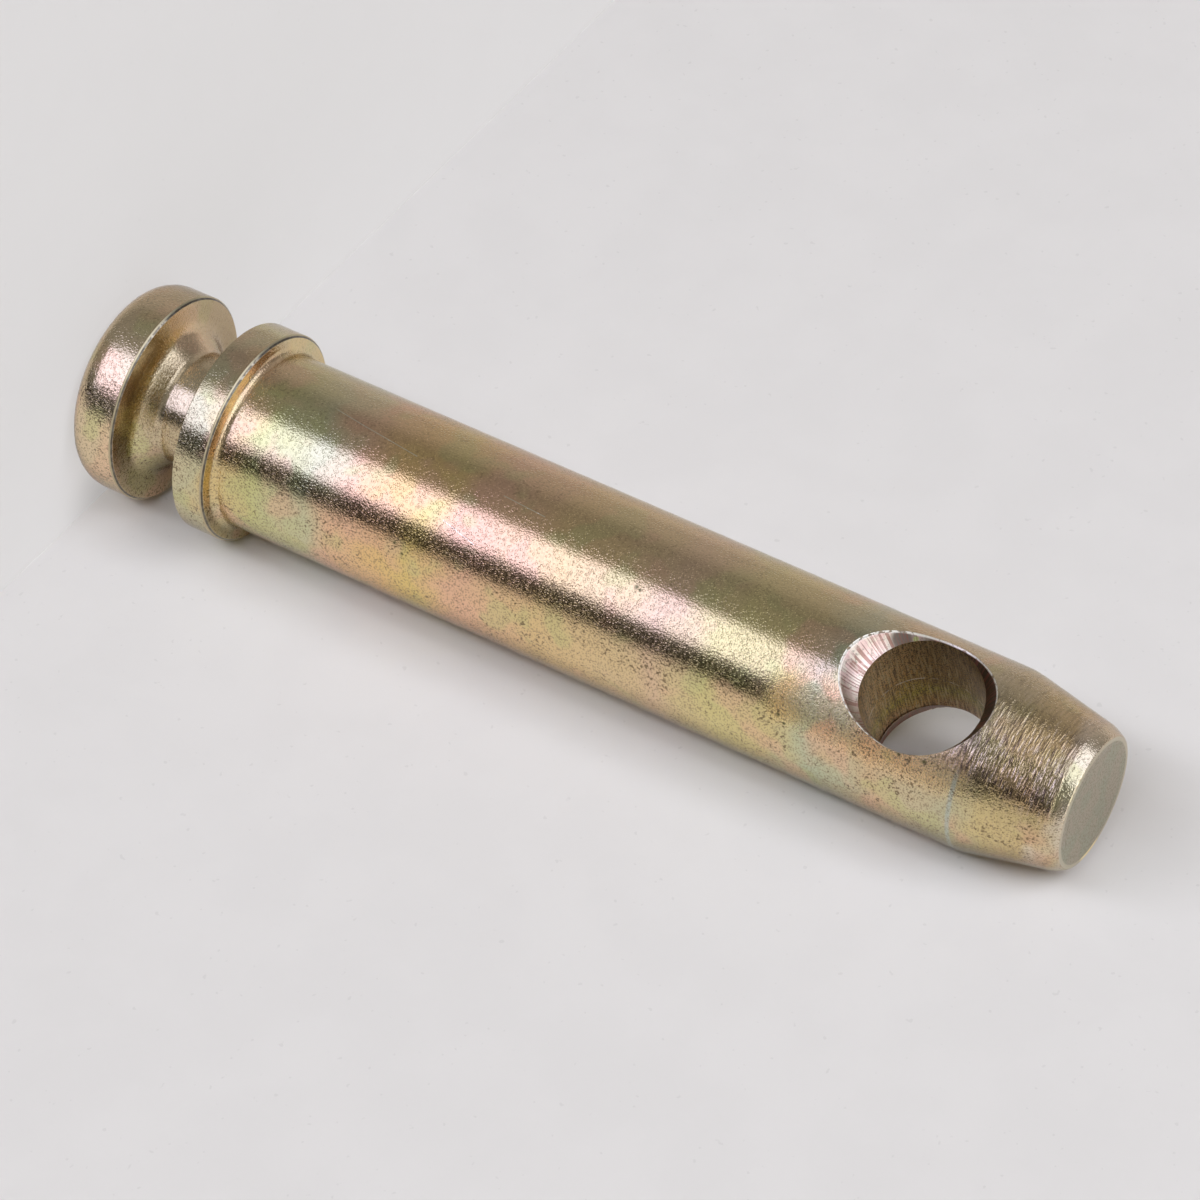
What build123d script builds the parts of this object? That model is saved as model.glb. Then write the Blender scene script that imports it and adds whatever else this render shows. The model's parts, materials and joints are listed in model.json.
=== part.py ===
"""Top link pin: one turned piece with a disc head, a waisted neck, a collar, a plain shaft
with a cross hole for a retaining clip, and a tapered tip. It stands on its head along +Z.
All sizes are in millimetres."""
import os

from build123d import *

# head: the disc at the back, with a rounded outer edge and a small chamfer facing the neck
head_diameter = 22.6
head_thickness = 6.1
head_edge_radius = 2.8
head_rim_chamfer = 0.3

# neck: the waist between head and collar, with a cone that widens it towards the head
neck_diameter = 12.0
neck_length = 7.75
neck_flare_diameter = 16.2
neck_flare_length = 2.1
neck_flare_radius = 1.2

# collar: the ring that stops the pin against the lug; the step is how far it stands out
# from the shaft
collar_step = 1.9
collar_thickness = 3.7
collar_rim_chamfer = 0.3

# shaft: the plain diameter that fills the lug and the rod end
shaft_diameter = 19.0
shaft_length = 96.6
shoulder_root_radius = 0.8

# tip: the tapered lead-in, with a steeper bevel round its flat end
taper_length = 9.25
taper_end_diameter = 15.2
tip_bevel_length = 1.25
tip_face_diameter = 13.9
tip_edge_radius = 0.35

# cross hole: drilled through the shaft along Y, with a cone cut into each mouth
hole_diameter = 12.3
hole_from_shoulder = 78.65
mouth_diameter = 16.1
mouth_depth = 2.6

# the collar grows with the shaft
collar_diameter = shaft_diameter + 2 * collar_step

# heights along the pin
flare_end = head_thickness + neck_flare_length
collar_back = head_thickness + neck_length
shoulder = collar_back + collar_thickness
tip_face = shoulder + shaft_length
taper_end = tip_face - tip_bevel_length
taper_start = taper_end - taper_length
hole_height = shoulder + hole_from_shoulder

# rings nearer to a height than this lie at that height
same_height = 0.01


def rings_at(height):
    """The blank's circular edges at one height, the innermost first."""
    rings = top_link_pin.edges().filter_by(GeomType.CIRCLE)
    level = rings.filter_by(lambda ring: abs(ring.center().Z - height) < same_height)
    return level.sort_by(SortBy.RADIUS)


with BuildPart() as top_link_pin:
    # the turned blank: half of the pin's outline, swung round its own axis
    with BuildSketch(Plane.XZ):
        with BuildLine():
            Polyline(
                (0, 0),
                (head_diameter / 2, 0),
                (head_diameter / 2, head_thickness),
                (neck_flare_diameter / 2, head_thickness),
                (neck_diameter / 2, flare_end),
                (neck_diameter / 2, collar_back),
                (collar_diameter / 2, collar_back),
                (collar_diameter / 2, shoulder),
                (shaft_diameter / 2, shoulder),
                (shaft_diameter / 2, taper_start),
                (taper_end_diameter / 2, taper_end),
                (tip_face_diameter / 2, tip_face),
                (0, tip_face),
                close=True,
            )
        make_face()
    revolve(axis=Axis.Z)

    # worked edges of the blank: on each face the innermost ring comes first
    fillet(rings_at(0), radius=head_edge_radius)
    chamfer(rings_at(head_thickness)[-1], length=head_rim_chamfer)
    fillet(rings_at(flare_end), radius=neck_flare_radius)
    fillet(rings_at(shoulder)[0], radius=shoulder_root_radius)
    chamfer(rings_at(shoulder)[-1], length=collar_rim_chamfer)
    fillet(rings_at(tip_face), radius=tip_edge_radius)

    # the cross hole, straight through the shaft
    with BuildSketch(Plane.XZ):
        with Locations((0, hole_height)):
            Circle(hole_diameter / 2)
    extrude(amount=shaft_diameter, both=True, mode=Mode.SUBTRACT)

    # a cone in each mouth of the hole: one profile, mirrored to the other side and swung
    # round the hole's axis
    with BuildSketch(Plane.XY.offset(hole_height)):
        with BuildLine():
            Polyline(
                (0, shaft_diameter / 2 - mouth_depth),
                (hole_diameter / 2, shaft_diameter / 2 - mouth_depth),
                (mouth_diameter / 2, shaft_diameter / 2),
                (mouth_diameter / 2, shaft_diameter),
                (0, shaft_diameter),
                close=True,
            )
        make_face()
        mirror(about=Plane.XZ)
    revolve(axis=Axis((0, 0, hole_height), (0, 1, 0)), mode=Mode.SUBTRACT)

top_link_pin.part.label = "top_link_pin"

os.makedirs("parts", exist_ok=True)
export_step(top_link_pin.part, "parts/top_link_pin.step")
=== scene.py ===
# %% [markdown]
# # A top link pin, dressed
#
# The pin is one bar of steel, turned on a lathe, drilled across and plated with yellow zinc.
# The packed model already has its true sizes. This lesson gives it a finer skin of the same
# form, because polished metal shows every facet, and then the plating, the tool marks and
# the light that make it look like the real thing.

# %% Load the frame
import json
import math

import bmesh
import bpy
from mathutils import Matrix, Vector

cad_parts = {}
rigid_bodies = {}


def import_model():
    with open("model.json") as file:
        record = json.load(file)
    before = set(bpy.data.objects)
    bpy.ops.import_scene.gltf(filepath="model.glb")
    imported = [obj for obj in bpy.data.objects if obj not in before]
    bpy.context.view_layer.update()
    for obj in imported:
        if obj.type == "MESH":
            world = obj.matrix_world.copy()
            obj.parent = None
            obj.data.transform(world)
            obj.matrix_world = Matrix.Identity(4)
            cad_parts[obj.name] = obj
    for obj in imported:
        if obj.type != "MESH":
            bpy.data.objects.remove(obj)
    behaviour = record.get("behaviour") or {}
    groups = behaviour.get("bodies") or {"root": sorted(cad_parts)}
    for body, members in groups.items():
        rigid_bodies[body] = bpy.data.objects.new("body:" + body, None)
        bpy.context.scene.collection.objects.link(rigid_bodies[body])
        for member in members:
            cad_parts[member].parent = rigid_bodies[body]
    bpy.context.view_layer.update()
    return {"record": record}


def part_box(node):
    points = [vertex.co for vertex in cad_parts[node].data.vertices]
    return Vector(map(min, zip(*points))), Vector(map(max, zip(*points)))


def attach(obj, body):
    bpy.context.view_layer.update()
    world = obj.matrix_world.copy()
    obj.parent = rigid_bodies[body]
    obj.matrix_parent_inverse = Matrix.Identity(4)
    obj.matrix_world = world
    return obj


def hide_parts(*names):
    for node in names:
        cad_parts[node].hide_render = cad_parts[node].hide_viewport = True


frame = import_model()

# %% [markdown]
# ## The sizes we work from
#
# What the record states is read from it, so the skin can't drift from the packed part: the
# shaft and hole radii, the height of the hole and the pin's full length. The rest are the
# same driving sizes that the part was drawn with, written in metres by way of MM.

# %% Sizes of the pin
MM = 0.001
mounts = {mount["name"]: mount for mount in frame["record"]["mounts"]}
shaft_r = mounts["shaft"]["dims"]["r_mm"] * MM
hole_r = mounts["clip_hole"]["dims"]["r_mm"] * MM
hole_z = mounts["clip_hole"]["pos_m"][2]
tip_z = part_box("top_link_pin")[1].z

head_r = 11.3 * MM
head_top_z = 6.1 * MM
head_edge = 2.8 * MM
rim = 0.3 * MM
neck_r = 6.0 * MM
flare_r = 8.1 * MM
flare_z = head_top_z + 2.1 * MM
flare_bend = 1.2 * MM
collar_r = 11.4 * MM
collar_low_z = 13.85 * MM
shoulder_z = 17.55 * MM
root_fillet = 0.8 * MM
taper_z = tip_z - 10.5 * MM
bevel_r = 7.6 * MM
bevel_z = tip_z - 1.25 * MM
tip_r = 6.95 * MM
tip_edge = 0.35 * MM
mouth_r = 8.05 * MM
mouth_depth = 2.6 * MM
print("shaft radius", shaft_r, "hole radius", hole_r, "hole height", hole_z, "tip at", round(tip_z, 5))

# %% [markdown]
# ## The outline that the lathe cuts
#
# Half of the pin's section is a chain of straight runs and arcs. We list its corners, each
# with the radius that the tool or years of handling left on it, and let one function turn
# every corner into a small arc. Nothing on a real turned part is perfectly sharp, and those
# small arcs are what catches the light along each rim.


# %% A chain of points with rounded corners
def rounded_chain(corners, steps=4):
    """Points (r, z) through corners given as (r, z, radius), with an arc at each radius."""
    points = [Vector(corners[0][:2])]
    for before, corner, after in zip(corners, corners[1:], corners[2:]):
        here, radius = Vector(corner[:2]), corner[2]
        to_before = (Vector(before[:2]) - here).normalized()
        to_after = (Vector(after[:2]) - here).normalized()
        if radius == 0:
            points.append(here)
            continue
        half = to_before.angle(to_after) / 2
        centre = here + (to_before + to_after).normalized() * (radius / math.sin(half))
        start = here + to_before * (radius / math.tan(half)) - centre
        turn = start.angle_signed(here + to_after * (radius / math.tan(half)) - centre)
        for step in range(steps + 1):
            points.append(centre + Matrix.Rotation(-turn * step / steps, 2) @ start)
    points.append(Vector(corners[-1][:2]))
    return points


# %% Long runs get rows of points
def with_rows(points, spacing):
    """The same chain, with long runs cut into stretches no longer than spacing(z)."""
    out = [points[0]]
    for a, b in zip(points, points[1:]):
        count = max(1, math.ceil((b - a).length / spacing((a.y + b.y) / 2)))
        out += [a.lerp(b, step / count) for step in range(1, count + 1)]
    return out


def row_spacing(z):
    """Short stretches round the cross hole, where the cut needs them, and long ones elsewhere."""
    return 0.45 * MM if z > hole_z - 11 * MM else 1.5 * MM


# %% Corners of the half section
handled = 0.1 * MM
neck_root = 0.15 * MM
flare_blend = 2.2 * MM
taper_blend = 8 * MM
bevel_blend = 3 * MM
corners = [
    (0, 0, 0),
    (head_r, 0, head_edge),
    (head_r, head_top_z - rim, handled),
    (head_r - rim, head_top_z, handled),
    (flare_r, head_top_z, flare_blend),
    (neck_r, flare_z, flare_bend),
    (neck_r, collar_low_z, neck_root),
    (collar_r, collar_low_z, handled),
    (collar_r, shoulder_z - rim, handled),
    (collar_r - rim, shoulder_z, handled),
    (shaft_r, shoulder_z, root_fillet),
    (shaft_r, taper_z, taper_blend),
    (bevel_r, bevel_z, bevel_blend),
    (tip_r, tip_z, tip_edge),
    (0, tip_z, 0),
]
outline = with_rows(rounded_chain(corners, steps=6), row_spacing)
print("the half section has", len(outline), "points")

# %% [markdown]
# ## Drawing the outline and spinning it
#
# Blender's Spin does what a lathe does: it sweeps a chain of edges round an axis. The chain
# itself starts as one corner of a plane, and Extrude carries that corner from point to
# point. Spinning leaves a seam and two poles of doubled points, so they are merged, and the
# faces are then turned to look outwards. A cylinder with inset and scaled rings would do as
# well, but each arc would then need its own loops.


# %% Draw and spin
def drawn_chain(name, points):
    """A chain of edges, drawn from a plane merged to one corner and extruded point by point."""
    bpy.ops.object.select_all(action="DESELECT")
    bpy.ops.mesh.primitive_plane_add(size=MM, location=(0, 0, 0))
    piece = bpy.context.object
    piece.name = piece.data.name = name
    bpy.ops.object.mode_set(mode="EDIT")
    bpy.ops.mesh.merge(type="CENTER")
    bpy.ops.transform.translate(value=points[0])
    for here, there in zip(points, points[1:]):
        bpy.ops.mesh.extrude_vertices_move(TRANSFORM_OT_translate={"value": there - here})
    return piece


def spun(piece, steps, centre, axis):
    """Sweeps the drawn chain once round the axis and closes the seam and the poles."""
    bpy.ops.mesh.select_all(action="SELECT")
    bpy.ops.mesh.spin(steps=steps, angle=2 * math.pi, center=centre, axis=axis)
    bpy.ops.mesh.select_all(action="SELECT")
    bpy.ops.mesh.remove_doubles(threshold=0.002 * MM)
    bpy.ops.mesh.normals_make_consistent(inside=False)
    bpy.ops.object.mode_set(mode="OBJECT")
    return piece


pin = drawn_chain("plated_pin", [Vector((point.x, 0, point.y)) for point in outline])
spun(pin, 288, (0, 0, 0), (0, 0, 1))
print("turned body:", len(pin.data.polygons), "faces")

# %% [markdown]
# ## The cross hole
#
# A drill leaves a straight bore, and a wide countersink then opens each mouth, so that the
# clip slides in easily. On a round shaft a coned mouth makes the saddle-shaped rim that is
# hard to draw by hand. We turn a cutter with the bore's and the cones' profile round the Y
# axis and take it away with a Boolean, which finds the rim by itself.

# %% Turn the cutter
mouth_slope = (mouth_r - hole_r) / mouth_depth
cone_start = shaft_r - mouth_depth
overshoot = 0.8 * MM
cutter_end = shaft_r + overshoot
cutter_r = mouth_r + overshoot * mouth_slope
cutter_rows = 0.7 * MM
profile = [(0, -cutter_end), (cutter_r, -cutter_end), (hole_r, -cone_start)]
profile += [(radius, -along) for radius, along in reversed(profile)]
profile = with_rows([Vector(point) for point in profile], lambda along: cutter_rows)
cutter = drawn_chain("hole_cutter", [Vector((point.x, point.y, hole_z)) for point in profile])
spun(cutter, 192, (0, 0, hole_z), (0, 1, 0))
print("cutter:", len(cutter.data.polygons), "faces")


# %% [markdown]
# ## Cones that wander
#
# On a real pin the countersink is pressed in by hand and leans: the near cone to the head and
# the far one to the tip. So we pick the ring where each cone meets the bore and turn it a few
# degrees, and then shift the cone outside it. Turning the rings keeps the bore itself
# straight, which a leaning cutter would not.


# %% Lean the cones
def select_vertices(piece, wanted):
    """Enters edit mode with just the vertices whose place passes the test selected."""
    bpy.ops.object.select_all(action="DESELECT")
    piece.select_set(True)
    bpy.context.view_layer.objects.active = piece
    bpy.ops.object.mode_set(mode="EDIT")
    bpy.ops.mesh.select_mode(type="VERT")
    bpy.ops.mesh.select_all(action="DESELECT")
    mesh = bmesh.from_edit_mesh(piece.data)
    for vertex in mesh.verts:
        vertex.select = wanted(vertex.co)
    mesh.select_flush(True)
    bmesh.update_edit_mesh(piece.data)


# the side along Y, the lean in degrees, and the shifts inwards and towards the tip
near_cone = (-1, 2.5, 0.0, -0.15 * MM)
far_cone = (1, 7.0, 0.35 * MM, 0.4 * MM)
for side, lean, inwards, tipwards in (near_cone, far_cone):
    select_vertices(cutter, lambda place: abs(place.y - side * cone_start) < 0.01 * MM)
    bpy.ops.transform.translate(value=(0, -side * inwards, 0))
    bpy.ops.transform.rotate(
        value=math.radians(lean), orient_axis="X", center_override=(0, side * cone_start, hole_z)
    )
    bpy.ops.object.mode_set(mode="OBJECT")
    select_vertices(cutter, lambda place: place.y * side > cone_start + 0.6 * MM)
    bpy.ops.transform.translate(value=(0, 0, tipwards))
    bpy.ops.object.mode_set(mode="OBJECT")
print("cones leaned by", near_cone[1], "and", far_cone[1], "degrees")

# %% [markdown]
# ## Naming the surfaces before the cut
#
# Each kind of surface on the pin was left by another tool, so each gets its own finish. It is
# easiest to say which face is which while the body is still a plain turned form: by how far
# out and how high a face lies. The cutter's faces are named too, and the Boolean then carries
# the names of bore and mouth into the pin.

# %% The finishes of the pin
pin_finishes = {}
for name in (
    "yellow_plating",
    "turned_neck",
    "turned_taper",
    "worn_rim_with_highlight",
    "sawn_end",
    "bored_wall",
    "countersunk_mouth",
):
    pin_finishes[name] = bpy.data.materials.new(name)
    pin.data.materials.append(pin_finishes[name])
slots = {name: index for index, name in enumerate(pin_finishes)}
print("finishes:", list(slots))

# %% Which face has which finish
streaks_z = taper_z - 4.5 * MM
handled_rims = ((head_top_z, head_r), (shoulder_z, collar_r))


def on_worn_rim(face, out):
    """Whether a face lies on the chamfer of the head's or the collar's rim."""
    return face.normal.z > 0.4 and any(
        0.02 * MM < top - face.center.z < rim and abs(out - edge_r + rim / 2) < rim
        for top, edge_r in handled_rims
    )


def surface_of(face):
    """The finish of a turned face, by its place on the pin."""
    out = math.hypot(face.center.x, face.center.y)
    if face.normal.z > 0.9 and face.center.z > tip_z - 0.1 * MM:
        return "sawn_end"
    if face.center.z > streaks_z:
        return "turned_taper"
    if on_worn_rim(face, out):
        return "worn_rim_with_highlight"
    in_neck = head_top_z < face.center.z < collar_low_z
    return "turned_neck" if in_neck and out < flare_r else "yellow_plating"


for face in pin.data.polygons:
    face.material_index = slots[surface_of(face)]
for name in ("bored_wall", "countersunk_mouth"):
    cutter.data.materials.append(pin_finishes[name])
for face in cutter.data.polygons:
    face.material_index = int(math.hypot(face.center.x, face.center.z - hole_z) > hole_r + 0.02 * MM)
on_taper = sum(face.material_index == slots["turned_taper"] for face in pin.data.polygons)
print("faces on the taper:", on_taper)

# %% [markdown]
# ## The cut
#
# The Boolean takes the cutter out of the pin. It leaves slivers where the two meshes cross,
# so points round the hole that are closer than a hair's width are merged afterwards. It also
# numbers its points in another order on each run, and which of two close points stays depends
# on that, so they are first sorted by place: the mesh is then the same every time. The faces
# are shaded smooth at the end, apart from the edges that are sharp on the real pin.

# %% Cut the hole
cut = pin.modifiers.new("cross_hole", "BOOLEAN")
cut.object = cutter
cut.operation = "DIFFERENCE"
cut.solver = "EXACT"
cut.material_mode = "TRANSFER"
bpy.ops.object.select_all(action="DESELECT")
pin.select_set(True)
bpy.context.view_layer.objects.active = pin
bpy.ops.object.modifier_apply(modifier=cut.name)
bpy.data.objects.remove(cutter)
print("with its cross hole:", len(pin.data.polygons), "faces")

# %% Clean and smooth
select_vertices(pin, lambda place: abs(place.z - hole_z) < mouth_r + 1 * MM)
mesh = bmesh.from_edit_mesh(pin.data)
odd_direction = Vector((1, math.sqrt(2), math.sqrt(5)))
mesh.verts.sort(key=lambda vertex: vertex.co.dot(odd_direction))
bmesh.update_edit_mesh(pin.data)
bpy.ops.mesh.remove_doubles(threshold=0.02 * MM)
bpy.ops.mesh.select_all(action="SELECT")
bpy.ops.mesh.normals_make_consistent(inside=False)
bpy.ops.object.mode_set(mode="OBJECT")
bpy.ops.object.shade_smooth_by_angle(angle=math.radians(24))
print("cleaned:", len(pin.data.polygons), "faces")

# %% [markdown]
# ## Short calls for making finishes
#
# Every finish below is procedural: it reads the place on the pin in metres (the Object
# coordinates), so its grain has a true size and stays with the metal from every side. Such a
# finish is a few dozen nodes. Written out one by one they hide what they are for, so we first
# make short calls that add a node and link it.


# %% Nodes and arithmetic
class Nodes:
    """Short calls that add nodes to a material's or a world's tree."""

    def __init__(self, tree):
        self.tree = tree

    def node(self, kind, *inputs, **settings):
        """A node with its inputs set in order: sockets are linked, None is left alone."""
        made = self.tree.nodes.new(kind)
        for name, value in settings.items():
            setattr(made, name, value)
        for socket, value in zip(made.inputs, inputs):
            self.give(socket, value)
        return made

    def give(self, socket, value):
        """Links a socket to the input, or sets a plain value on it."""
        if isinstance(value, bpy.types.NodeSocket):
            self.tree.links.new(value, socket)
        elif value is not None:
            socket.default_value = value

    def math(self, operation, *values):
        """One step of arithmetic."""
        return self.node("ShaderNodeMath", *values, operation=operation).outputs[0]

    def total(self, *values):
        """Adds any number of values up."""
        result = values[0]
        for value in values[1:]:
            result = self.math("ADD", result, value)
        return result

    def product(self, *values):
        """Multiplies any number of values."""
        result = values[0]
        for value in values[1:]:
            result = self.math("MULTIPLY", result, value)
        return result

    def between(self, value, low, high, start=0.0, end=1.0):
        """Goes smoothly from start, where value is low, to end, where it is high."""
        made = self.node("ShaderNodeMapRange", value, low, high, start, end, interpolation_type="SMOOTHSTEP")
        return made.outputs[0]

    def line(self, value, centre, reach, core):
        """1 where value is within core of the centre, and 0 farther from it than reach."""
        gap = self.math("ABSOLUTE", self.math("SUBTRACT", value, centre))
        return self.between(gap, reach, core)

    def vector(self, operation, *values, output=0):
        """Vector arithmetic; values are sockets or triples."""
        return self.node("ShaderNodeVectorMath", *values, operation=operation).outputs[output]

    def ramp(self, value, stops):
        """A colour ramp through (position, colour) stops."""
        made = self.node("ShaderNodeValToRGB", value)
        elements = made.color_ramp.elements
        while len(elements) < len(stops):
            elements.new(1.0)
        for element, (position, colour) in zip(elements, stops):
            element.position = position
            element.color = (*colour, 1)
        return made.outputs[0]

    def mix(self, factor, first, second, blend_type="MIX"):
        """Two colours mixed by factor."""
        made = self.node("ShaderNodeMix", factor, data_type="RGBA", blend_type=blend_type)
        for socket, value in zip(made.inputs[6:8], (first, second)):
            self.give(socket, (*value, 1) if isinstance(value, tuple) else value)
        return made.outputs[2]


print("short calls:", [name for name in vars(Nodes) if not name.startswith("_")])


# %% A finish and its patterns
class Finish(Nodes):
    """One material with its shader, and patterns that read the place on the pin."""

    def __init__(self, material, **values):
        material.use_nodes = True
        super().__init__(material.node_tree)
        self.shader = self.tree.nodes["Principled BSDF"]
        for name, value in values.items():
            self.shader.inputs[name.replace("_", " ").capitalize()].default_value = value
        self.place = self.node("ShaderNodeTexCoord").outputs["Object"]
        self.x, self.y, self.z = self.node("ShaderNodeSeparateXYZ", self.place).outputs

    def stretched(self, along):
        """The place with each axis stretched, so a pattern on it becomes lines."""
        made = self.node("ShaderNodeMapping", self.place)
        made.inputs["Scale"].default_value = along
        return made.outputs[0]

    def noise(self, size, detail=2.0, place=None, shift=0.0):
        """Noise from 0 to 1 with features of this size in metres."""
        made = self.node("ShaderNodeTexNoise", noise_dimensions="4D")
        self.give(made.inputs["Vector"], place or self.place)
        made.inputs["W"].default_value = shift
        made.inputs["Scale"].default_value = 1 / size
        made.inputs["Detail"].default_value = detail
        return made.outputs[0]

    def spots(self, size, reach, share):
        """Round spots of 1: size is the spacing, reach their radius, share how many cells have one."""
        made = self.node("ShaderNodeTexVoronoi", self.place)
        made.inputs["Scale"].default_value = 1 / size
        near = self.between(made.outputs["Distance"], reach, reach * 0.6)
        lucky = self.node("ShaderNodeSeparateColor", made.outputs["Color"]).outputs[0]
        return self.product(near, self.math("LESS_THAN", lucky, share))

    def near(self, place, reach, core=0.0):
        """1 close to a place, and 0 farther from it than reach."""
        return self.between(self.vector("DISTANCE", self.place, tuple(place), output="Value"), reach, core)

    def mark(self, start, end, reach):
        """1 along a thin line between two places: a scratch."""
        run = end - start
        away = self.vector("SUBTRACT", self.place, tuple(start))
        share = self.vector("DOT_PRODUCT", away, tuple(run / run.length_squared), output="Value")
        share = self.node("ShaderNodeClamp", share).outputs[0]
        nearest = self.node("ShaderNodeVectorMath", tuple(run), operation="SCALE")
        self.give(nearest.inputs["Scale"], share)
        gap = self.vector("DISTANCE", away, nearest.outputs[0], output="Value")
        return self.between(gap, reach, 0.3 * reach)

    def region(self, *ramps):
        """1 where every ramp is past its end; a ramp is (axis, start, end) with places in mm."""
        return self.product(
            *(self.between(getattr(self, axis), start * MM, end * MM) for axis, start, end in ramps)
        )

    def from_axis(self):
        """The distance from the pin's axis."""
        flat = self.node("ShaderNodeCombineXYZ", self.x, self.y, 0.0).outputs[0]
        return self.vector("LENGTH", flat, output="Value")

    def toned(self, film, tone, share):
        """The film multiplied by a tone where share is 1."""
        return self.mix(share, film, self.mix(1.0, film, tone, "MULTIPLY"))

    def colour(self, value):
        """Gives the shader its colour."""
        self.give(self.shader.inputs["Base Color"], value)

    def relief(self, *heights):
        """Bends the light by the sum of the heights in metres."""
        made = self.node("ShaderNodeBump")
        made.inputs["Distance"].default_value = 1.0
        self.give(made.inputs["Height"], self.total(*heights))
        self.give(self.shader.inputs["Normal"], made.outputs[0])
        self.give(self.shader.inputs["Coat Normal"], made.outputs[0])


print("patterns:", [name for name in vars(Finish) if not name.startswith("_")])

# %% [markdown]
# ## Yellow zinc plating: the film
#
# The bath leaves a chromate film a few ten-thousandths of a millimetre thick on the zinc.
# Its thickness drifts along the pin, and like oil on water each thickness has its own tint:
# gold, salmon, olive, and mint where it is thinnest. A ramp along the pin gives those
# tints, and noise bends it, so that they make patches and not rings. Painting them on an
# image would do too, but the noise needs no seam and no unwrapping.

# %% Tints along the pin, by height in mm
tints = [
    (0.0, (0.68, 0.51, 0.34)),
    (11.0, (0.64, 0.53, 0.33)),
    (16.0, (0.58, 0.54, 0.33)),
    (18.5, (0.70, 0.53, 0.25)),
    (22.0, (0.60, 0.58, 0.25)),
    (28.0, (0.58, 0.56, 0.34)),
    (32.0, (0.78, 0.50, 0.31)),
    (38.0, (0.78, 0.52, 0.23)),
    (42.0, (0.74, 0.56, 0.20)),
    (47.0, (0.78, 0.48, 0.31)),
    (57.0, (0.73, 0.53, 0.26)),
    (66.0, (0.70, 0.53, 0.29)),
    (70.0, (0.70, 0.50, 0.32)),
    (77.0, (0.67, 0.58, 0.26)),
    (83.0, (0.66, 0.54, 0.26)),
    (88.0, (0.50, 0.54, 0.36)),
    (94.0, (0.66, 0.48, 0.28)),
    (103.0, (0.54, 0.52, 0.34)),
    (107.0, (0.64, 0.53, 0.26)),
    (111.5, (0.66, 0.52, 0.26)),
    (113.2, (0.74, 0.66, 0.50)),
]
salmon = (0.78, 0.53, 0.34)
olive_patch = (0.56, 0.56, 0.24)
rose_patch = (0.78, 0.47, 0.32)


def film_tint(finish):
    """The colour of the chromate film: bands along the pin, bent by noise, and loose patches."""
    drift = finish.product(finish.math("SUBTRACT", finish.noise(5 * MM), 0.5), 10 * MM)
    along = finish.math("DIVIDE", finish.math("ADD", finish.z, drift), tip_z)
    film = finish.ramp(along, [(height * MM / tip_z, tint) for height, tint in tints])
    olive = finish.between(finish.noise(5 * MM, shift=3.0), 0.54, 0.64, 0.0, 0.45)
    film = finish.mix(olive, film, olive_patch)
    rose = finish.between(finish.noise(6 * MM, shift=7.0), 0.54, 0.64, 0.0, 0.5)
    film = finish.mix(rose, film, rose_patch)
    return finish.mix(finish.between(finish.x, 1 * MM, -5 * MM, 0.0, 0.4), film, salmon)


print("tints:", len(tints))

# %% [markdown]
# ## Painted light and shade on the sides
#
# The film is painted lighter on two sides of the shaft, as painted reflection, and darker where the shaft
# and the taper come close to the bench and on one side of the head, as painted shade. The head also gets a
# tint of its own. A table says by which tone, and between which places in millimetres.

# %% Painted light and shade on the sides
# painted reflection and painted shade by side: a tone, and the ramps of the places where it goes
painted_side_tones = [
    ((1.16, 1.16, 1.16), [("x", 6, 8.5)]),
    ((1.12, 1.22, 1.25), [("x", -6.8, -8.3), ("z", 8, 12)]),
    ((0.74, 0.74, 0.70), [("y", -2.5, 2), ("x", 6, 8.5), ("z", 28, 50)]),
    ((0.70, 0.70, 0.70), [("y", -2.5, 2), ("x", 6, 8.5), ("z", 97, 104)]),
    ((0.74, 0.74, 0.74), [("x", -5, -9), ("z", 8, 6)]),
    ((1.06, 1.10, 1.06), [("z", 8, 6)]),
]


def painted_side_shading(finish, film):
    """The film with painted light and shade on its sides, and the head's tint."""
    for tone, ramps in painted_side_tones:
        film = finish.toned(film, tone, finish.region(*ramps))
    return film


print("sides with a tone of their own:", len(painted_side_tones))

# %% [markdown]
# ## Marks of handling
#
# Pins lie loose in a box, so they have nicks and a few thin scratches down to bright zinc.
# Beside the hole the clip has rubbed the film to a warm, duller patch, and a pale ring near
# the taper is where the bath stood. The large marks have their own places. They could be cut
# into the mesh, but they are hardly deeper than the film, so colour alone shows them.

# %% Places of the marks, in mm and degrees


def around(radius, heading, height):
    """The place at this distance from the pin's axis and this heading in degrees."""
    turn = math.radians(heading)
    return Vector((radius * math.cos(turn), radius * math.sin(turn), height))


def on_skin(height, heading):
    """The place on the shaft at this height in mm and this heading in degrees."""
    return around(shaft_r, heading, height * MM)


# a scratch: height and heading of its start, then of its end
scratches = [(31, -101, 38, -96), (48.5, -95, 53.5, -93), (27.5, -104, 31, -101), (44, -66, 48, -60)]
# a nick: height, heading and radius
nicks = [
    (65.8, -76, 0.40),
    (66.3, -75, 0.30),
    (39.6, -41, 0.32),
    (40.6, -36, 0.28),
    (84.2, -40, 0.38),
    (85.0, -36, 0.30),
    (99.9, -50, 0.42),
    (97.2, -48, 0.30),
]
stain_z = 103.4 * MM
print("scratches:", len(scratches), "nicks:", len(nicks))


# %% Colour of the marks
def stained(finish, film):
    """The film with the pale ring of the bath's level."""
    ring = finish.line(finish.z, stain_z, 0.35 * MM, 0.1 * MM)
    one_side = finish.between(finish.x, 5 * MM, 7 * MM, 0.0, 0.7)
    return finish.mix(finish.product(ring, one_side), film, (0.48, 0.56, 0.50))


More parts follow.
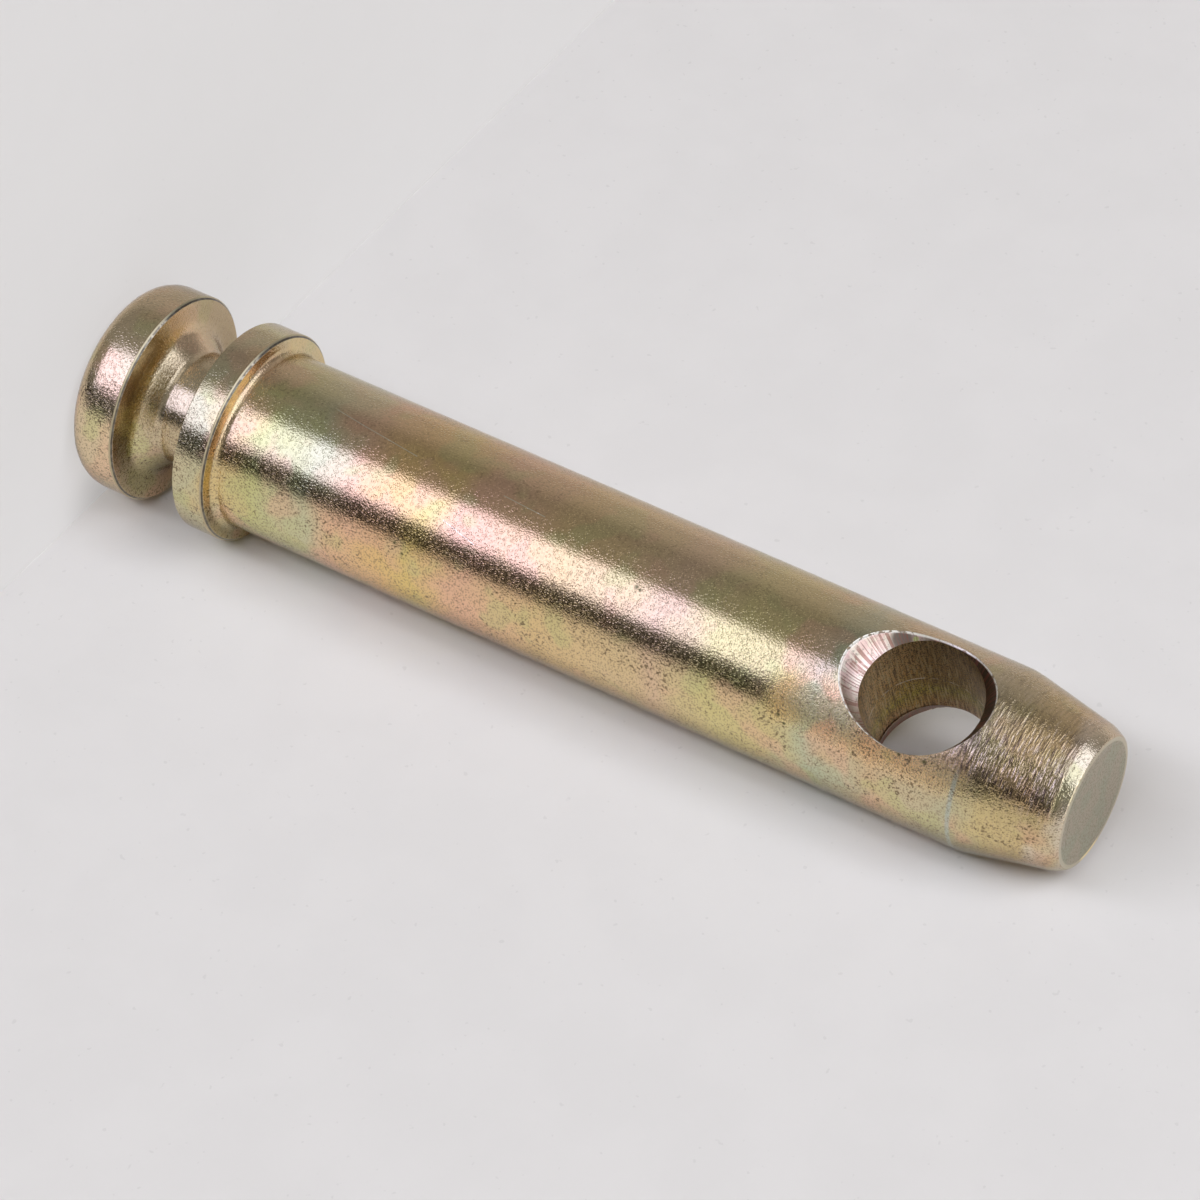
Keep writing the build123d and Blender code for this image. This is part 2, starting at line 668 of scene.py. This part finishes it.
def marked(finish, film):
    """The film with dark nicks and bright scratches."""
    dents = [finish.near(on_skin(height, heading), size * MM) for height, heading, size in nicks]
    lines = [
        finish.mark(on_skin(low, turn), on_skin(high, far_turn), 0.07 * MM)
        for low, turn, high, far_turn in scratches
    ]
    film = finish.mix(finish.total(*dents), film, (0.13, 0.12, 0.05))
    return finish.mix(finish.product(finish.total(*lines), 0.7), film, (0.85, 0.80, 0.62))


# %% [markdown]
# ## Blasted steel under the film, and turned rings
#
# Under the film the blasted steel has a fine grain with shallow pits. The grain bends each
# reflection a little, which breaks up its edge into dots, and dirt sits in it as freckles.
# On neck and taper the lathe tool has left rings across the pin: noise that is stretched round it. On the
# side where the light falls, their crests get a painted highlight and their valleys painted shade. Grain in
# the mesh would need millions of faces, so a bump carries it.

# %% Rings that the lathe tool left
ring_spacing = 0.24 * MM
# tones of the painted highlight on ring crests and of the painted shade in ring valleys
valley_shade_tone, crest_light_tone = (0.16, 0.10, 0.08), (0.82, 0.66, 0.58)


def lit_band(finish):
    """1 on the side where the light falls on the rings, where their painted highlight and shade go, and
    little on the bevel and the sides.
    """
    near_side = finish.between(finish.x, 5.0 * MM, 6.5 * MM, 1.0, 0.12)
    far_side = finish.between(finish.x, -4 * MM, 1.5 * MM, 0.3, 1.0)
    below_bevel = finish.between(finish.z, bevel_z + 0.1 * MM, bevel_z - 0.3 * MM, 0.2, 1.0)
    return finish.product(near_side, far_side, below_bevel)


def ringed(finish, film, rings, turned, band, ring_height):
    """The film where it is turned, with painted highlight on the rings' crests and painted shade in their
    valleys, both on the lit band.
    """
    weak = finish.product(turned, min(1.0, 5 * ring_height / MM))
    strong = finish.product(turned, min(1.0, 10 * ring_height / MM))
    # painted shade: the lit band of the turned part is toned darker and pinker
    film = finish.toned(film, (0.84, 0.72, 0.76), finish.product(weak, band))
    painted_crest_light = finish.product(finish.between(rings, 0.46, 0.36), weak, band)
    painted_valley_shade = finish.product(finish.between(rings, 0.50, 0.66), strong, band)
    return film, painted_crest_light, painted_valley_shade


# %% Pepper and freckles of dirt
def dirt(finish):
    """Shares of fine pepper and of larger freckles, both fewer in the bright highlight."""
    clear = finish.between(finish.x, 3.8 * MM, 6 * MM, 0.3, 1.0)
    pepper = finish.between(finish.noise(0.2 * MM, 1.0, shift=6.0), 0.50, 0.64)
    crowded = finish.between(finish.noise(3.5 * MM, 1.0, shift=8.0), 0.38, 0.62, 0.07, -0.02)
    freckles = finish.math("SUBTRACT", finish.noise(0.34 * MM, shift=5.0), crowded)
    freckles = finish.product(finish.between(freckles, 0.59, 0.65), clear)
    return finish.product(pepper, 0.6, clear), freckles


# %% Plated surfaces
def plate(material, grain_height, ring_height=0.0, ring_length=1.0, rings_from=0.0, tone=None, blur=0.0):
    """The chromate film over blasted steel, with turned rings above rings_from, and with painted light and
    shade on its sides and on its rings.
    """
    finish = Finish(material, Metallic=1.0)
    shader = finish.shader.inputs
    shader["Specular Tint"].default_value = (0.66, 0.62, 0.58, 1)
    shader["Coat Weight"].default_value = 0.4
    shader["Coat Roughness"].default_value = 0.1
    shader["Coat IOR"].default_value = 1.5

    turned = finish.between(finish.z, rings_from, rings_from + 4 * MM)
    rings = finish.noise(ring_spacing, 2.0, finish.stretched((ring_length, ring_length, 1.0)), shift=4.0)
    band = lit_band(finish)
    scuffed = finish.mark(on_skin(85, -52), on_skin(102, -51), 3.8 * MM)
    pepper, freckles = dirt(finish)

    # painted light and shade on the sides of the pin
    film = painted_side_shading(finish, film_tint(finish))
    film = finish.toned(film, tone or (1.0, 1.0, 1.0), turned)
    film = stained(finish, finish.toned(film, (1.4, 1.18, 1.0), scuffed))
    film, painted_crest_light, painted_valley_shade = ringed(finish, film, rings, turned, band, ring_height)
    film = finish.mix(pepper, film, (0.26, 0.19, 0.11))
    # painted highlight on the rings' crests and painted shade in their valleys
    film = finish.mix(finish.product(painted_crest_light, 0.5), film, crest_light_tone)
    film = finish.mix(finish.product(painted_valley_shade, 0.8), film, valley_shade_tone)
    film = finish.mix(finish.product(freckles, 0.8), film, (0.17, 0.11, 0.055))
    finish.colour(marked(finish, film))

    grain = finish.noise(0.16 * MM)
    rough = finish.between(grain, 0.40, 0.62, 0.08 + blur, 0.24 + blur)
    finish.give(shader["Roughness"], finish.total(rough, finish.product(scuffed, 0.17)))
    finish.relief(
        finish.product(grain, grain_height),
        finish.product(finish.spots(0.28 * MM, 0.55, 0.6), -0.55 * grain_height),
        finish.product(finish.noise(1.2 * MM, 1.0, shift=1.0), 0.5 * grain_height),
        finish.product(scuffed, grain, 2.2 * grain_height),
        finish.product(rings, band, turned, ring_height),
        finish.product(freckles, -0.01 * MM),
    )
    print(material.name, "has", len(finish.tree.nodes), "nodes")


blasted = 0.021 * MM
finer = 0.013 * MM
plate(pin_finishes["yellow_plating"], blasted)
plate(pin_finishes["turned_neck"], finer, ring_height=0.012 * MM, ring_length=0.05, blur=0.05)
plate(
    pin_finishes["turned_taper"],
    blasted,
    ring_height=0.18 * MM,
    ring_length=0.18,
    rings_from=streaks_z,
    tone=(1.0, 0.98, 0.95),
)

# %% [markdown]
# ## Worn rims with a painted highlight
#
# The rims of head and collar are what a pin knocks against, so they have dark chips. A thin dark line runs
# along each rim, and a painted highlight makes it bright on the side where the window light falls. It has a
# chamfer of its own in the mesh, and half of that chamfer keeps the plating's colour, which makes the line
# as thin as the real one.

# %% Worn rims with a painted highlight
worn = Finish(pin_finishes["worn_rim_with_highlight"], Metallic=1.0, Roughness=0.34)
rim_highlight, rim_dark, rim_far_dark = (0.66, 0.57, 0.43), (0.20, 0.18, 0.14), (0.20, 0.18, 0.15)
# painted highlight on one side of the rim, and dark on the rest of it
rim_film = worn.mix(worn.between(worn.x, -1.5 * MM, 1 * MM), rim_highlight, rim_dark)
rim_film = worn.mix(worn.between(worn.x, -2.8 * MM, -3.8 * MM), rim_film, rim_far_dark)
chipped = worn.between(worn.noise(0.6 * MM, 3.0), 0.42, 0.56)
rim_film = worn.mix(worn.product(chipped, 0.75), rim_film, (0.10, 0.08, 0.06))
gaps = [worn.math("ABSOLUTE", worn.math("SUBTRACT", worn.z, top)) for top, edge_r in handled_rims]
still_plated = worn.between(worn.math("MINIMUM", *gaps), 0.15 * MM, 0.20 * MM)
worn.colour(worn.mix(still_plated, rim_film, (0.54, 0.46, 0.30)))
worn.relief(worn.product(worn.noise(0.25 * MM), 0.02 * MM))
print("worn rims:", len(worn.tree.nodes), "nodes")

# %% [markdown]
# ## The sawn end
#
# The bar is sawn off and its end is hardly worked: a dull grey olive with a fine grain and a faint ring from
# the lathe. A painted highlight runs along its edge, painted golden on the side that faces the bench as a
# painted reflection. Rings and the edge need only the distance from the axis.

# %% Sawn end
end = Finish(pin_finishes["sawn_end"], Metallic=1.0, Roughness=0.40)
end_grain = end.noise(0.22 * MM, 3.0)
end_film = end.mix(end.between(end.noise(2.5 * MM), 0.42, 0.62), (0.47, 0.41, 0.31), (0.42, 0.41, 0.30))
end_film = end.mix(end.between(end_grain, 0.46, 0.62, 0.0, 0.7), end_film, (0.28, 0.24, 0.16))
end_reach = end.from_axis()
groove = end.line(end_reach, 5.6 * MM, 0.16 * MM, 0.04 * MM)
groove = end.product(groove, end.between(end.noise(2 * MM, 1.0, shift=3.0), 0.45, 0.6))
end_film = end.mix(end.product(groove, 0.5), end_film, (0.27, 0.25, 0.17))
# painted highlight along the edge of the end
edge_highlight = end.between(end_reach, tip_r - 0.60 * MM, tip_r - 0.42 * MM)
end_film = end.mix(end.product(edge_highlight, 0.8), end_film, (0.66, 0.60, 0.46))
# painted reflection: the edge highlight is golden on the side that faces the bench
bench_side_reflection = end.near(around(tip_r - tip_edge, 70, tip_z), 2.2 * MM, 1 * MM)
end.colour(end.mix(end.product(edge_highlight, bench_side_reflection), end_film, (1.0, 0.86, 0.50)))
end.relief(end.product(end_grain, 0.02 * MM), end.product(groove, -0.02 * MM))
print("sawn end:", len(end.tree.nodes), "nodes")

# %% [markdown]
# ## The bored wall
#
# The drill leaves fine lines along the hole, and the film in it is dark: gold to olive, rosy near the far
# mouth, and lighter towards the head. One ring scratch, from a burr on the drill, runs round it at a slant.
# Stretched noise makes the lines, as on the taper.

# %% Bored wall
bore = Finish(pin_finishes["bored_wall"], Metallic=1.0, Roughness=0.3)
deep_tints = [
    (0.2, (0.54, 0.38, 0.17)),
    (0.45, (0.48, 0.31, 0.11)),
    (0.55, (0.44, 0.30, 0.09)),
    (0.65, (0.46, 0.38, 0.08)),
    (0.75, (0.46, 0.29, 0.10)),
    (0.85, (0.50, 0.29, 0.17)),
    (1.0, (0.42, 0.24, 0.13)),
]
wander = bore.product(bore.math("SUBTRACT", bore.noise(3 * MM), 0.5), 4 * MM)
deep = bore.math("DIVIDE", bore.total(bore.y, wander, shaft_r), 2 * shaft_r)
bore_film = bore.ramp(deep, deep_tints)
# the bore is lighter towards the head
head_side = bore.between(bore.z, hole_z - 2 * MM, hole_z - 5 * MM)
bore_film = bore.toned(bore_film, (1.45, 1.4, 1.4), head_side)

# %% Lines and the ring scratch in the bore
bore_dirt = (0.12, 0.08, 0.03)
feed_lines = bore.noise(0.17 * MM, 2.0, bore.stretched((1.0, 0.07, 1.0)))
bore_grain = bore.noise(0.17 * MM)
bore_film = bore.mix(bore.between(bore_grain, 0.48, 0.58, 0.0, 0.85), bore_film, bore_dirt)
bore_film = bore.mix(bore.between(feed_lines, 0.53, 0.62, 0.0, 0.7), bore_film, (0.66, 0.52, 0.26))
bore_film = bore.mix(bore.between(feed_lines, 0.47, 0.38, 0.0, 0.6), bore_film, bore_dirt)
slant = bore.math("SUBTRACT", bore.y, bore.product(bore.math("SUBTRACT", bore.z, hole_z), 0.3))
ring_scratch = bore.line(slant, 1.5 * MM, 0.13 * MM, 0.05 * MM)
ring_scratch = bore.product(ring_scratch, bore.between(bore.noise(1.0 * MM), 0.42, 0.55))
bore.colour(bore.mix(bore.product(ring_scratch, 0.8), bore_film, (0.90, 0.80, 0.58)))
bore.relief(bore.product(feed_lines, 0.02 * MM), bore.product(bore_grain, 0.06 * MM))
print("bored wall:", len(bore.tree.nodes), "nodes")

# %% [markdown]
# ## The countersunk mouths
#
# The countersink chatters: it leaves spokes that point to the hole's middle. Noise that reads only the
# direction from the hole makes them. The metal between is bright and rosy, with painted shade on the side of
# the tip, on the side of positive x and on the far mouth. A crumb of zinc and a dark patch have their own
# places. Along the outer rim a thin burr is left with a painted highlight; it is drawn by height and colour
# rather than by a bevel, because a bevel stops at the shortest edge that the cut left.

# %% Chatter of the countersink
mouth = Finish(pin_finishes["countersunk_mouth"], Metallic=1.0, Roughness=0.42)
off_hole = mouth.math("SUBTRACT", mouth.z, hole_z)
spoke = mouth.node("ShaderNodeCombineXYZ", mouth.x, 0.0, off_hole).outputs[0]
from_hole = mouth.vector("LENGTH", spoke, output="Value")
chatter = mouth.noise(0.028, 2.0, mouth.vector("NORMALIZE", spoke))
inside_rim = mouth.between(from_hole, mouth_r - 0.1 * MM, mouth_r - 0.6 * MM, 0.15, 1.0)
patchy = mouth.between(mouth.noise(0.7 * MM, shift=5.0), 0.30, 0.50, 0.3, 1.0)
lines = mouth.product(mouth.between(chatter, 0.49, 0.55), inside_rim, patchy)
print("chatter:", len(mouth.tree.nodes), "nodes")

# %% Colours of the mouth
clean_cut, rosy_cut = (1.0, 0.88, 0.74), (1.0, 0.76, 0.68)
mouth_film = mouth.mix(mouth.between(mouth.noise(1.1 * MM), 0.42, 0.58), clean_cut, rosy_cut)
# painted shade on the side of the tip and on the side of positive x
mouth_film = mouth.mix(mouth.between(off_hole, -4 * MM, -1.5 * MM), mouth_film, (0.20, 0.15, 0.10))
mouth_film = mouth.mix(mouth.between(mouth.x, 0.5 * MM, 5 * MM, 0.0, 0.8), mouth_film, (0.46, 0.34, 0.22))
dark_patch = mouth.near((-4.5 * MM, -7.5 * MM, hole_z - 4.6 * MM), 1.5 * MM, 0.7 * MM)
mouth_film = mouth.mix(mouth.product(dark_patch, 0.85), mouth_film, (0.16, 0.13, 0.10))
crumbs = mouth.between(mouth.noise(0.3 * MM, shift=2.0), 0.56, 0.66, 0.0, 0.6)
mouth_film = mouth.mix(crumbs, mouth_film, (0.34, 0.27, 0.18))
zinc_crumb = mouth.near((-5.2 * MM, -7.2 * MM, hole_z - 3.5 * MM), 0.36 * MM, 0.2 * MM)
mouth_film = mouth.mix(zinc_crumb, mouth_film, (0.70, 0.75, 0.32))
# painted shade on the far mouth, which faces the bench
far_mouth_shade = mouth.between(mouth.y, 0.0, 1 * MM, 0.0, 0.9)
mouth_film = mouth.mix(far_mouth_shade, mouth_film, (0.24, 0.14, 0.09))
mouth_film = mouth.mix(mouth.product(lines, 0.8), mouth_film, (0.42, 0.20, 0.15))

# %% The burr along the rim, with its painted highlight
mouth_reach = mouth.from_axis()
# painted highlight along the rim, broken by dark gaps
burr_and_highlight = mouth.between(mouth_reach, shaft_r - 0.28 * MM, shaft_r - 0.16 * MM)
burr_highlight_tone, burr_gap = (1.0, 0.94, 0.80), (0.34, 0.26, 0.17)
burr_highlight_film = mouth.mix(mouth.between(mouth.noise(0.45 * MM), 0.50, 0.60), burr_highlight_tone, burr_gap)
mouth.colour(mouth.mix(burr_and_highlight, mouth_film, burr_highlight_film))
mouth.relief(
    mouth.product(chatter, 0.016 * MM),
    mouth.product(mouth.noise(0.2 * MM), 0.025 * MM),
    mouth.product(mouth.between(mouth_reach, shaft_r - 0.3 * MM, shaft_r), -0.2 * MM),
)
print("countersunk mouth:", len(mouth.tree.nodes), "nodes")

# %% [markdown]
# ## The bench and the floor
#
# The packed pin stands on its head, and we look at it as if it lay on a bench. So the bench
# top is an upright board beside the pin that touches its collar and the start of its taper.
# Laying the pin down instead would move it out of the packed frame. From behind, the board is
# clear, so that the pin can be looked at from every side.

# %% Bench top and floor
bench_heading = math.radians(-109.1)
bench_lean = math.atan((collar_r - shaft_r) / (taper_z - (shoulder_z - rim)))
bench_gap = 0.05 * MM
bench_normal = Vector((math.cos(bench_heading), math.sin(bench_heading), -math.tan(bench_lean))).normalized()
touch = Vector((math.cos(bench_heading), math.sin(bench_heading), 0)) * -(collar_r + bench_gap)
touch.z = shoulder_z - rim


def board(name, size, location, rotation):
    """A flat board that only sets the scene."""
    bpy.ops.object.select_all(action="DESELECT")
    bpy.ops.mesh.primitive_plane_add(size=size, location=location, rotation=rotation)
    piece = bpy.context.object
    piece.name = piece.data.name = name
    bpy.ops.object.transform_apply(location=True, rotation=True, scale=True)
    return piece


bench = board("bench_top", 3.0, touch, bench_normal.to_track_quat("Z", "Y").to_euler())
floor = board("floor", 4.0, (0, 0, 0), (0, 0, 0))
print("bench leans by", round(math.degrees(bench_lean), 2), "degrees")

# %% [markdown]
# ## Pale paint for both
#
# Bench and floor have to read as one pale surface, though the light falls on them in other
# ways. The bench is plain paint, so it takes the pin's shadow. The floor is part paint and
# part glow, which evens it with the bench, and it is dimmed beside the head, where the shadow
# on the bench would otherwise stop at a line.

# %% Pale surfaces
head_shadow = Vector((9.0 * MM, 9.4 * MM, 0))
head_shadow_reach = 8.2 * MM
head_shadow_depth = 0.31


def pale_surface(name, glow, paint):
    """A pale surface: part glow, part lit paint, with faint patches and a few specks."""
    finish = Finish(bpy.data.materials.new(name), Roughness=0.9)
    patches = finish.between(finish.noise(9 * MM, 3.0), 0.35, 0.65, 0.99, 1.01)
    specks = finish.between(finish.noise(0.8 * MM, 1.0, shift=2.0), 0.70, 0.76, 1.0, 0.92)
    tone = finish.product(patches, specks)
    grey = finish.node("ShaderNodeCombineXYZ", tone, tone, tone).outputs[0]
    finish.colour(finish.mix(1.0, grey, paint, "MULTIPLY"))
    finish.shader.inputs["Specular IOR Level"].default_value = 0.0
    dimmed = finish.product(finish.near(head_shadow, head_shadow_reach), head_shadow_depth)
    finish.give(finish.shader.inputs["Emission Color"], finish.mix(dimmed, glow, (0.0, 0.0, 0.0)))
    finish.shader.inputs["Emission Strength"].default_value = 1.0
    return finish


def clear_from_behind(finish):
    """Lets the eye through the surface from its back."""
    behind = finish.node("ShaderNodeNewGeometry").outputs["Backfacing"]
    clear = finish.node("ShaderNodeBsdfTransparent").outputs[0]
    seen = finish.node("ShaderNodeMixShader", behind, finish.shader.outputs[0], clear).outputs[0]
    finish.give(finish.tree.nodes["Material Output"].inputs["Surface"], seen)


bench_paint = pale_surface("bench_paint", (0.0, 0.0, 0.0), (0.722, 0.708, 0.718))
clear_from_behind(bench_paint)
floor_paint = pale_surface("floor_paint", (0.522, 0.511, 0.509), (0.25, 0.245, 0.25))
bench.data.materials.append(bpy.data.materials["bench_paint"])
floor.data.materials.append(bpy.data.materials["floor_paint"])
for ray in ("diffuse", "glossy", "transmission", "shadow"):
    setattr(floor, "visible_" + ray, False)
print("painted:", bench.name, "and", floor.name)

# %% [markdown]
# ## The lamps
#
# Polished metal shows its room, so each lamp is a shape to be mirrored: a tall window makes the
# bright band along the shaft, and a pale wall, the sky and the ceiling fill the bands beside
# it. The bench needs softer light, and from other places, to get the wide soft shadow. Lamps
# that only light paint do that. So each lamp is seen by one kind of ray only.


# %% Lamps
middle = Vector((0, 0, 0.06))


def soft_lamp(name, heading, rise, distance, size, radiance, sees, upright=False):
    """An area lamp that faces the pin: its heading and rise in degrees, and the rays that see it."""
    data = bpy.data.lights.new(name, "AREA")
    data.shape = "RECTANGLE"
    data.size, data.size_y = size
    data.color = [part / max(radiance) for part in radiance]
    data.energy = max(radiance) * math.pi * size[0] * size[1]
    lamp = bpy.data.objects.new(name, data)
    bpy.context.scene.collection.objects.link(lamp)
    turn, rise = math.radians(heading), math.radians(rise)
    flat = Vector((math.cos(turn), math.sin(turn), 0))
    away = flat + Vector((0, 0, math.tan(rise)))
    lamp.location = middle + away * distance * math.cos(rise)
    lamp.rotation_euler = (flat if upright else away).to_track_quat("Z", "Y").to_euler()
    for ray in ("camera", "diffuse", "glossy", "transmission"):
        setattr(lamp, "visible_" + ray, ray == sees)


# %% What the metal mirrors
window_away, window_drop = 0.7, -0.414
window_size = (2 * window_away * math.tan(math.radians(21.8)), 0.493)
window_rise = math.degrees(math.atan(window_drop / window_away))
window_distance = window_away / math.cos(math.radians(window_rise))
window_light = (1.48, 1.52, 2.36)
soft_lamp("window", -70.0, window_rise, window_distance, window_size, window_light, "glossy", upright=True)
soft_lamp("pale_wall", -112, 4, 0.8, (0.55, 0.26), (0.5, 0.5, 0.53), "glossy", upright=True)
soft_lamp("skylight", -118, 46, 0.8, (0.8, 0.68), (1.25, 1.35, 1.65), "glossy")
soft_lamp("ceiling", -55, 76, 0.8, (0.65, 0.65), (1.15, 1.15, 1.2), "glossy")
print("window:", [round(side, 3) for side in window_size], "m")

# %% What lights the paint
soft_lamp("window_fill", -71.5, -18.3, 4.2, (0.70, 6.88), (6.3, 6.4, 6.7), "diffuse", upright=True)
soft_lamp("wall_fill", -84, -13.4, 4.1, (1.41, 4.80), (1.9, 1.94, 2.08), "diffuse", upright=True)
soft_lamp("sky_fill", -106, 40, 3.2, (1.80, 1.84), (5.6, 5.78, 6.08), "diffuse")
print("lamps:", len(bpy.data.lights))

# %% [markdown]
# ## The room
#
# What no lamp covers is the room itself, and the metal mirrors it too: light walls on the far
# sides, and a dark doorway beside the window, which makes the dark band under the highlight.
# A ramp round the horizon holds the brightness of the walls. The camera sees an even pale
# room, and paint gets a warm, dim light from it.

# %% Walls round the horizon, by heading in degrees
walls = [
    (-180, 0.47),
    (-163, 0.40),
    (-155, 0.36),
    (-147, 0.255),
    (-139, 0.24),
    (-123, 0.285),
    (-98, 0.30),
    (-50, 0.28),
    (-45, 0.10),
    (-26, 0.05),
    (-19, 0.05),
    (-14, 0.60),
    (161, 0.70),
    (171, 0.55),
    (174, 0.34),
    (177, 0.46),
]
overhead, on_paint, backdrop = (0.25, 0.25, 0.25), (0.115, 0.085, 0.03), (0.80, 0.80, 0.81)

# %% The room
world = bpy.data.worlds.new("room")
bpy.context.scene.world = world
world.use_nodes = True
room = Nodes(world.node_tree)
looking = room.node("ShaderNodeTexCoord").outputs["Generated"]
look_x, look_y, look_z = room.node("ShaderNodeSeparateXYZ", looking).outputs
heading = room.math("ARCTAN2", look_y, look_x)
horizon = room.math("ADD", room.math("DIVIDE", heading, 2 * math.pi), 0.5)
mirrored = room.ramp(horizon, [(angle / 360 + 0.5, (level,) * 3) for angle, level in walls])
mirrored = room.mix(room.between(look_z, 0.1, 0.5), mirrored, overhead)
rays = room.node("ShaderNodeLightPath").outputs
shade = room.mix(rays["Is Glossy Ray"], on_paint, mirrored)
shade = room.mix(rays["Is Camera Ray"], shade, backdrop)
room.give(world.node_tree.nodes["Background"].inputs["Color"], shade)
print("walls:", len(walls))

# %% [markdown]
# ## The camera
#
# The camera stands half a metre away with a long lens and looks a little down on the pin. It is
# rolled by more than a right angle, so the standing pin lies across the picture with its
# head at the upper left and its tip at the lower right.

# %% Camera
aim = Vector((1.2 * MM, 0.5 * MM, 58.9 * MM))
camera_distance = 0.4966
turned = Matrix.Rotation(math.radians(22.0), 3, "Z")
raised = Matrix.Rotation(math.radians(90 - 22.6), 3, "X")
rolled = Matrix.Rotation(math.radians(113.8), 3, "Z")
camera_turn = turned @ raised @ rolled
camera = bpy.data.objects.new("camera", bpy.data.cameras.new("camera"))
bpy.context.scene.collection.objects.link(camera)
bpy.context.scene.camera = camera
camera.data.lens = 149.2
camera.data.clip_start = 0.01
camera.location = aim + camera_turn @ Vector((0, 0, camera_distance))
camera.rotation_euler = camera_turn.to_euler()
bpy.context.scene.view_settings.view_transform = "Standard"
print("camera at", [round(1000 * place) for place in camera.location], "mm")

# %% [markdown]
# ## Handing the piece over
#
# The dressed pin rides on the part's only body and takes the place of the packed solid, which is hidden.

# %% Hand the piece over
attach(pin, "root")
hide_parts("top_link_pin")
